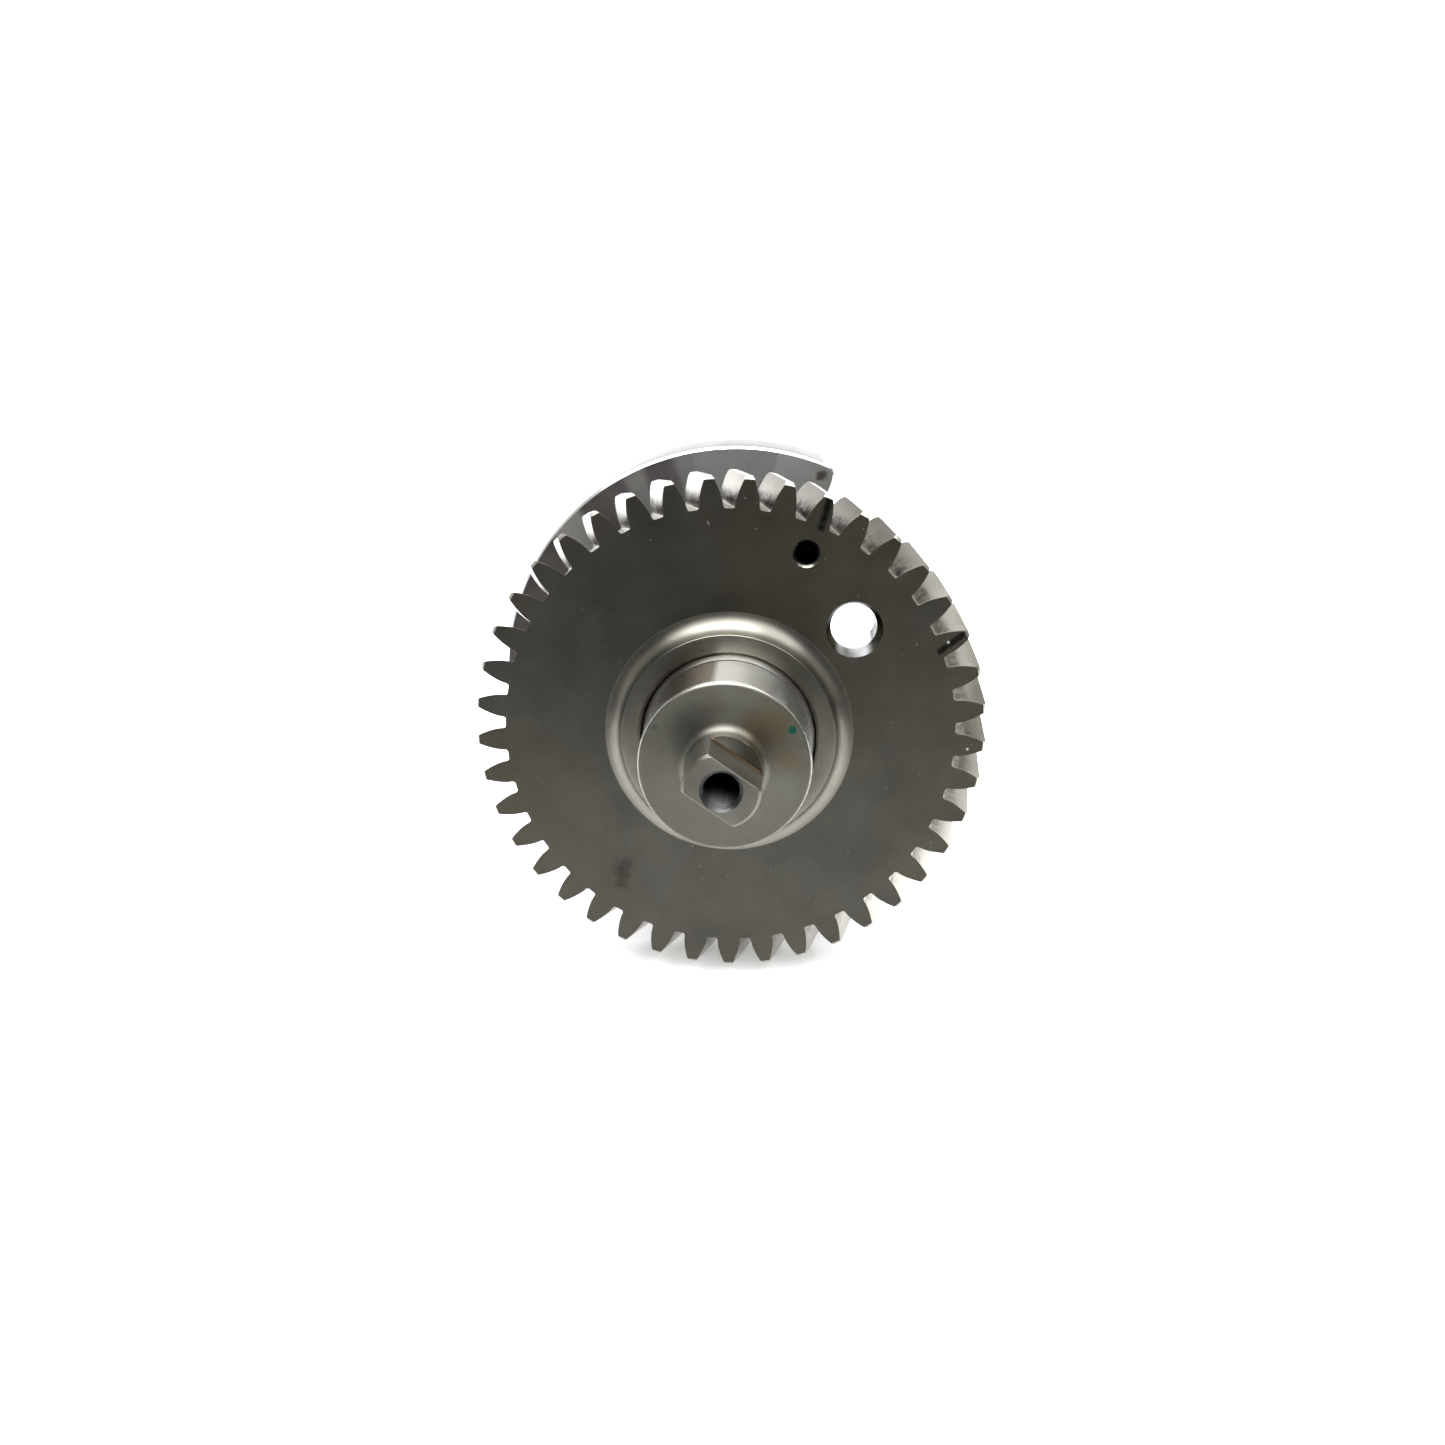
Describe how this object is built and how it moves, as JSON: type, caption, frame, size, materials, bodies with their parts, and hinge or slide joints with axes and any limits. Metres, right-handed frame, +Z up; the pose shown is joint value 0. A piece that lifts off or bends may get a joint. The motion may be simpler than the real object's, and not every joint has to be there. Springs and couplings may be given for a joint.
{
  "type": "balance shaft with helical gear",
  "caption": "Engine balance shaft with a pressed-on left-hand helical gear, a half-moon counterweight, a polished front journal, a two-flat drive stub and a rear ball bearing.",
  "frame": {"origin": "centre of the rear ball bearing, on the shaft's axis", "axes": "+Y along the shaft towards its bearing end, so the drive stub points to -Y; +Z up and +X to the right when the gear's front face is looked at"},
  "size_m": [0.0966, 0.1242, 0.0966],
  "materials": {
    "gear_steel": "satin, oiled, ground faces",
    "shaft_steel": "polished journal, satin ends",
    "weight_steel": "turned, semi-polished",
    "race_steel": "ground",
    "ball_steel": "mirror polished",
    "cage_steel": "pressed sheet, satin",
    "spring_steel": "black phosphated"
  },
  "bodies": {
    "outer_ring": {"bearing_outer_ring": "race_steel"},
    "rotor": {"balance_shaft": "shaft_steel", "helical_gear": "gear_steel", "counterweight": "weight_steel", "counterweight_key": "spring_steel", "distance_sleeve": "shaft_steel", "bearing_inner_ring": "race_steel", "retaining_ring": "spring_steel"},
    "cage": {"cage_front_half": "cage_steel", "cage_rear_half": "cage_steel", "cage_rivet_1": "cage_steel", "cage_rivet_2": "cage_steel", "cage_rivet_3": "cage_steel", "cage_rivet_4": "cage_steel", "cage_rivet_5": "cage_steel", "cage_rivet_6": "cage_steel", "cage_rivet_7": "cage_steel", "cage_rivet_8": "cage_steel", "cage_rivet_9": "cage_steel"},
    "ball_1": {"ball_1": "ball_steel"},
    "ball_2": {"ball_2": "ball_steel"},
    "ball_3": {"ball_3": "ball_steel"},
    "ball_4": {"ball_4": "ball_steel"},
    "ball_5": {"ball_5": "ball_steel"},
    "ball_6": {"ball_6": "ball_steel"},
    "ball_7": {"ball_7": "ball_steel"},
    "ball_8": {"ball_8": "ball_steel"},
    "ball_9": {"ball_9": "ball_steel"}
  },
  "joints": [
    {"name": "shaft_spin", "type": "hinge", "parent": "outer_ring", "child": "rotor", "pos_m": [0, 0, 0], "axis": [0, 1, 0], "continuous": true},
    {"name": "cage_spin", "type": "hinge", "parent": "outer_ring", "child": "cage", "pos_m": [0, 0, 0], "axis": [0, 1, 0], "continuous": true},
    {"name": "ball_1_spin", "type": "hinge", "parent": "cage", "child": "ball_1", "pos_m": [0, 0, 0.0155], "axis": [0, 1, 0], "continuous": true},
    {"name": "ball_2_spin", "type": "hinge", "parent": "cage", "child": "ball_2", "pos_m": [-0.00996, 0, 0.01187], "axis": [0, 1, 0], "continuous": true},
    {"name": "ball_3_spin", "type": "hinge", "parent": "cage", "child": "ball_3", "pos_m": [-0.01526, 0, 0.00269], "axis": [0, 1, 0], "continuous": true},
    {"name": "ball_4_spin", "type": "hinge", "parent": "cage", "child": "ball_4", "pos_m": [-0.01342, 0, -0.00775], "axis": [0, 1, 0], "continuous": true},
    {"name": "ball_5_spin", "type": "hinge", "parent": "cage", "child": "ball_5", "pos_m": [-0.0053, 0, -0.01457], "axis": [0, 1, 0], "continuous": true},
    {"name": "ball_6_spin", "type": "hinge", "parent": "cage", "child": "ball_6", "pos_m": [0.0053, 0, -0.01457], "axis": [0, 1, 0], "continuous": true},
    {"name": "ball_7_spin", "type": "hinge", "parent": "cage", "child": "ball_7", "pos_m": [0.01342, 0, -0.00775], "axis": [0, 1, 0], "continuous": true},
    {"name": "ball_8_spin", "type": "hinge", "parent": "cage", "child": "ball_8", "pos_m": [0.01526, 0, 0.00269], "axis": [0, 1, 0], "continuous": true},
    {"name": "ball_9_spin", "type": "hinge", "parent": "cage", "child": "ball_9", "pos_m": [0.00996, 0, 0.01187], "axis": [0, 1, 0], "continuous": true}
  ],
  "couplings": [
    {"joint": "cage_spin", "follows": "shaft_spin", "ratio": 0.39758},
    {"joint": "ball_1_spin", "follows": "shaft_spin", "ratio": -2.3385},
    {"joint": "ball_2_spin", "follows": "shaft_spin", "ratio": -2.3385},
    {"joint": "ball_3_spin", "follows": "shaft_spin", "ratio": -2.3385},
    {"joint": "ball_4_spin", "follows": "shaft_spin", "ratio": -2.3385},
    {"joint": "ball_5_spin", "follows": "shaft_spin", "ratio": -2.3385},
    {"joint": "ball_6_spin", "follows": "shaft_spin", "ratio": -2.3385},
    {"joint": "ball_7_spin", "follows": "shaft_spin", "ratio": -2.3385},
    {"joint": "ball_8_spin", "follows": "shaft_spin", "ratio": -2.3385},
    {"joint": "ball_9_spin", "follows": "shaft_spin", "ratio": -2.3385}
  ]
}
